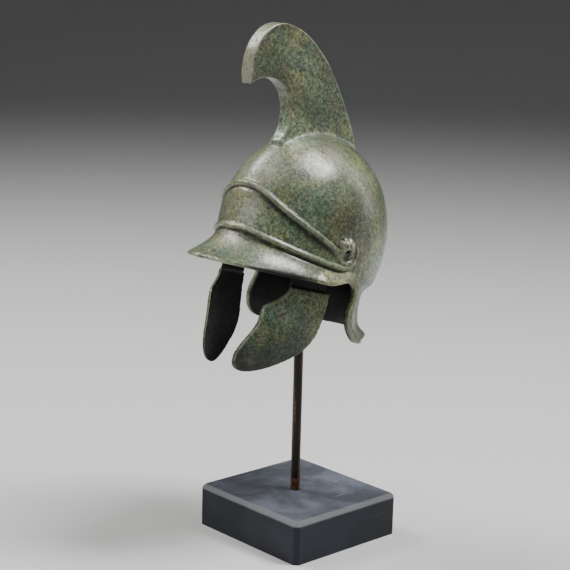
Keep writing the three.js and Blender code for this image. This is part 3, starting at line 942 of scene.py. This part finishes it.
def patinated_bronze(name, green, teal, olive, speck_share, coat_share, coat_roughness):
    """Waxed green patina, pale on worn edges and painted highlights, with painted shade darkening shaded
    faces and making the inside of the hollow nearly black.
    """
    material, tree, shader = new_material(name)
    skin_colour = place_group(tree, VERDIGRIS, Green=green, Teal=teal, Olive=olive,
                              Dark=(0.014, 0.018, 0.013), Specks=speck_share,
                              Yellow=mesh_value(tree, "yellow"),
                              Brown=mesh_value(tree, "brown"), Teal_share=mesh_value(tree, "teal"))
    # Pale colour from the pale attribute: mostly painted highlights, also pale patina on the crest front and
    # knob tops.
    pale = span(tree, skin_colour["Height"], 0.32, 0.58, 0.15, 0.8)
    pale = maths(tree, "MULTIPLY", mesh_value(tree, "pale"), pale)
    colour = blend_colour(tree, pale, skin_colour["Color"], (0.280, 0.256, 0.190))
    # Painted shade: the colour is multiplied darker by the shade attribute.
    colour = blend_colour(tree, maths(tree, "MULTIPLY", mesh_value(tree, "painted_shade"), 0.8), colour,
                          (0.62, 0.58, 0.62), "MULTIPLY")
    worn = place_group(tree, WORN_EDGES, Color=colour, Edge=mesh_value(tree, "edge_wear"),
                       Hollow=mesh_value(tree, "recess"))
    # Inside the hollow and on the cheek straps the colour goes near-black with lighter scuffs: painted
    # shade.
    inside = mesh_value(tree, "inside")
    scuff = cloud(tree, object_coordinates(tree, scale=(1, 1, 0.25), turn=(0.7, 0.2, 0.5)), 900.0, 3.0, 0.6)
    scuff = span(tree, scuff, 0.62, 0.72, 0.0, 0.35)
    painted_interior_shade = blend_colour(tree, scuff, (0.003, 0.0027, 0.0022), (0.04, 0.04, 0.036))
    link(tree, blend_colour(tree, inside, worn["Color"], painted_interior_shade), shader.inputs["Base Color"])
    dull = maths(tree, "ADD", span(tree, skin_colour["Height"], 0.25, 0.65, 0.46, 0.27),
                 maths(tree, "MULTIPLY", skin_colour["Specks"], 0.2))
    dull = maths(tree, "ADD", dull, maths(tree, "MULTIPLY", inside, 0.25), clamp=True)
    link(tree, dull, shader.inputs["Roughness"])
    link(tree, maths(tree, "MULTIPLY", worn["Wear"], 0.35), shader.inputs["Metallic"])
    shader.inputs["Specular IOR Level"].default_value = 0.3
    shader.inputs["Coat Roughness"].default_value = coat_roughness
    outside = maths(tree, "SUBTRACT", 1.0, inside)
    wax = maths(tree, "MULTIPLY", outside, span(tree, skin_colour["Height"], 0.15, 0.55, 0.25, 0.8))
    wax = maths(tree, "MULTIPLY", wax, span(tree, mesh_value(tree, "recess"), 0.0, 0.8, coat_share, 0.0))
    wax = maths(tree, "MULTIPLY", wax, span(tree, mesh_value(tree, "painted_shade"), 0.0, 1.0, 1.0, 0.15))
    link(tree, wax, shader.inputs["Coat Weight"])
    link(tree, bumped(tree, skin_colour["Height"], 0.55, 0.00035), shader.inputs["Normal"])
    return material


def worn_black_rod():
    """Black paint rubbed through to copper-brown in long streaks, with rust at the foot, and painted copper
    sheen down the rod's two sides as seen from the camera.
    """
    material, tree, shader = new_material("worn_black_rod")
    low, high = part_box("mount_rod")
    streaks = cloud(tree, object_coordinates(tree, scale=(1, 1, 0.06)), 420.0, 4.0, 0.6)
    chips = cloud(tree, object_coordinates(tree), 900.0, 4.0, 0.7)
    axes = axes_of(tree, object_coordinates(tree))
    foot = span(tree, axes["Z"], ROD_FOOT_TOP, ROD_FOOT_TOP + 0.004, 0.5, 0.0)
    # Bands down the rod's two sides as seen from the camera are turned bare copper: painted sheen.
    forward = maths(tree, "SUBTRACT", axes["Y"], (low.y + high.y) / 2)
    aside = maths(tree, "ADD", maths(tree, "MULTIPLY", axes["X"], math.cos(ROD_SHEEN_SIDE)),
                  maths(tree, "MULTIPLY", forward, math.sin(ROD_SHEEN_SIDE)))
    painted_side_sheen = span(tree, maths(tree, "ABSOLUTE", aside), ROD_SHEEN_FROM, ROD_SHEEN_TO, -0.06, 0.17)
    bare_and_sheen = maths(tree, "ADD", maths(tree, "ADD", streaks, maths(tree, "MULTIPLY", chips, 0.35)), painted_side_sheen)
    bare_and_sheen = span(tree, maths(tree, "ADD", bare_and_sheen, foot), 0.70, 0.80)
    copper = blend_colour(tree, span(tree, chips, 0.4, 0.65), (0.060, 0.028, 0.012), (0.17, 0.095, 0.045))
    link(tree, blend_colour(tree, bare_and_sheen, (0.0035, 0.0028, 0.0025), copper), shader.inputs["Base Color"])
    link(tree, span(tree, chips, 0.3, 0.7, 0.34, 0.62), shader.inputs["Roughness"])
    shader.inputs["Specular IOR Level"].default_value = 0.3
    link(tree, maths(tree, "MULTIPLY", bare_and_sheen, 0.6), shader.inputs["Metallic"])
    height = maths(tree, "SUBTRACT", chips, maths(tree, "MULTIPLY", bare_and_sheen, 0.6))
    link(tree, bumped(tree, height, 0.5, 0.0002), shader.inputs["Normal"])
    return material


def block_edge_distance(tree):
    """Sum of the distances to the block's two nearest faces: small only along its edges."""
    low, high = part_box("stone_base")
    middle, half = (low + high) / 2, (high - low) / 2
    insets = []
    for axis, output in enumerate(axes_of(tree, object_coordinates(tree))):
        from_middle = maths(tree, "ABSOLUTE", maths(tree, "SUBTRACT", output, middle[axis]))
        insets.append(maths(tree, "SUBTRACT", half[axis], from_middle))
    widest = maths(tree, "MAXIMUM", maths(tree, "MAXIMUM", insets[0], insets[1]), insets[2])
    total = maths(tree, "ADD", maths(tree, "ADD", insets[0], insets[1]), insets[2])
    return maths(tree, "SUBTRACT", total, widest)


def honed_slate():
    """Blue-grey slate with cloudy scuffs, fine scratches and a few white flecks, with painted shade
    darkening its sides.
    """
    material, tree, shader = new_material("honed_slate")
    vector = object_coordinates(tree)
    clouds = cloud(tree, vector, 38.0, 6.0, 0.62, 0.5)
    grain = cloud(tree, vector, 2600.0, 3.0, 0.7)
    colour = blend_colour(tree, span(tree, clouds, 0.40, 0.68), (0.036, 0.040, 0.050), (0.082, 0.091, 0.116))
    colour = blend_colour(tree, span(tree, grain, 0.35, 0.65, 0.0, 0.35), colour, (0.105, 0.112, 0.128))
    scratches = 0.0
    for turn, scale in ((0.5, 70.0), (2.1, 90.0), (1.3, 60.0)):
        along = object_coordinates(tree, scale=(1, 0.03, 1), turn=(0, 0, turn))
        lines = span(tree, cloud(tree, along, scale * 14, 2.0, 0.5), 0.66, 0.72)
        patches = cloud(tree, object_coordinates(tree, turn=(0, 0, turn)), scale, 2.0, 0.5)
        lines = maths(tree, "MULTIPLY", lines, span(tree, patches, 0.5, 0.62))
        scratches = maths(tree, "MAXIMUM", lines, scratches)
    colour = blend_colour(tree, maths(tree, "MULTIPLY", scratches, 0.4), colour, (0.24, 0.25, 0.27))
    flecks = span(tree, cloud(tree, vector, 700.0, 2.0, 0.5), 0.76, 0.80)
    colour = blend_colour(tree, flecks, colour, (0.42, 0.42, 0.42))
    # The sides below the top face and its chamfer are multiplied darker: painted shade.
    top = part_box("stone_base")[1].z
    upper = span(tree, axes_of(tree, vector)["Z"], top - SLATE_SHADE_FROM, top - SLATE_SHADE_TO)
    colour = blend_colour(tree, maths(tree, "SUBTRACT", 1.0, upper), colour, (0.26, 0.27, 0.29), "MULTIPLY")
    edge = maths(tree, "MULTIPLY", span(tree, block_edge_distance(tree), CHAMFER_FROM, CHAMFER_TO), upper)
    edge = maths(tree, "MULTIPLY", edge, span(tree, clouds, 0.38, 0.66, 0.6, 0.85))
    colour = blend_colour(tree, edge, colour, (0.118, 0.120, 0.128))
    link(tree, colour, shader.inputs["Base Color"])
    link(tree, span(tree, clouds, 0.35, 0.7, 0.46, 0.66), shader.inputs["Roughness"])
    shader.inputs["Specular IOR Level"].default_value = 0.22
    height = maths(tree, "SUBTRACT", maths(tree, "MULTIPLY", grain, 0.5),
                   maths(tree, "MULTIPLY", scratches, 0.5))
    link(tree, bumped(tree, height, 0.35, 0.00015), shader.inputs["Normal"])
    return material


# ------------------------------------------------------------------ stage
def stage_floor():
    """Wide dish, flat in the middle, that fills the view behind the helmet."""
    bm = bmesh.new()
    bmesh.ops.create_grid(bm, x_segments=80, y_segments=80, size=FLOOR_HALF)
    for vert in bm.verts:
        vert.co.z = FLOOR_RISE * max(vert.co.xy.length - FLOOR_FLAT, 0.0) ** 2
    floor = new_object("floor", bm)
    shade_smooth(floor.data)
    material, _, shader = new_material("floor")
    shader.inputs["Base Color"].default_value = (0.50, 0.50, 0.50, 1)
    shader.inputs["Roughness"].default_value = 0.7
    floor.data.materials.append(material)


def area_light(name, place, aim, size, power, colour=(1, 1, 1)):
    light = bpy.data.lights.new(name, "AREA")
    light.shape = "RECTANGLE"
    light.size, light.size_y = size
    light.energy = power
    light.color = colour
    lamp = bpy.data.objects.new(name, light)
    lamp.location = place
    lamp.rotation_euler = (Vector(aim) - Vector(place)).to_track_quat("-Z", "Y").to_euler()
    bpy.context.scene.collection.objects.link(lamp)


def world_light():
    world = bpy.data.worlds.new("studio")
    world.use_nodes = True
    world.node_tree.nodes["Background"].inputs["Color"].default_value = (0.8, 0.82, 0.85, 1)
    world.node_tree.nodes["Background"].inputs["Strength"].default_value = 0.13
    bpy.context.scene.world = world


def studio_camera():
    azimuth, elevation, roll = (math.radians(a) for a in (47.34, 12.39, 1.45))
    distance, pan, tilt = 0.7269, -0.00899, -0.00505
    back = Vector((math.sin(azimuth) * math.cos(elevation), -math.cos(azimuth) * math.cos(elevation),
                   math.sin(elevation)))
    right = Vector((math.cos(azimuth), math.sin(azimuth), 0))
    up = back.cross(right)
    place = right * pan + up * tilt + Vector((0, 0, 0.130)) + back * distance
    camera = bpy.data.cameras.new("camera")
    camera.sensor_width = 36
    camera.lens = 94.74
    holder = bpy.data.objects.new("camera", camera)
    tilted_right = right * math.cos(roll) + up * math.sin(roll)
    tilted_up = up * math.cos(roll) - right * math.sin(roll)
    axes = Matrix((tilted_right, tilted_up, back)).transposed().to_4x4()
    holder.matrix_world = Matrix.Translation(place) @ axes
    bpy.context.scene.collection.objects.link(holder)
    bpy.context.scene.camera = holder


# ------------------------------------------------------------------ assembly
helmet = helmet_casting()
cheeks = [cheek_guard(1), cheek_guard(-1)]
rod = rod_shaft()
block = slate_block()

VERDIGRIS = verdigris_group()
WORN_EDGES = worn_edge_group()
cast_patina = patinated_bronze("cast_patina", (0.110, 0.142, 0.078), (0.086, 0.144, 0.092),
                               (0.205, 0.205, 0.080), 0.9, 0.75, 0.28)
plate_patina = patinated_bronze("plate_patina", (0.080, 0.132, 0.062), (0.078, 0.130, 0.084),
                                (0.200, 0.215, 0.072), 1.0, 0.3, 0.38)
finishes = [(helmet, cast_patina), (cheeks[0], plate_patina), (cheeks[1], plate_patina),
            (rod, worn_black_rod()), (block, honed_slate())]
for piece, finish in finishes:
    piece.data.materials.clear()
    piece.data.materials.append(finish)

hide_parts("helmet_casting")
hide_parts("cheek_guard_left")
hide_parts("cheek_guard_right")
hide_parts("mount_rod")
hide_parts("stone_base")
for piece in [helmet, *cheeks, rod, block]:
    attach(piece, BODY)

stage_floor()
world_light()
middle = (0, 0, 0.14)
area_light("above_right", (0.36, 0.28, 0.98), middle, (0.24, 0.5), 18)
area_light("above_left", (-0.60, -0.26, 0.92), middle, (0.40, 0.55), 12, (1.0, 0.98, 0.95))
area_light("front_left", (-0.25, -1.10, 0.45), middle, (0.8, 0.6), 6)
area_light("right_edge", (0.42, 1.05, 0.50), middle, (0.18, 0.7), 2.6, (0.96, 0.98, 1.0))
studio_camera()
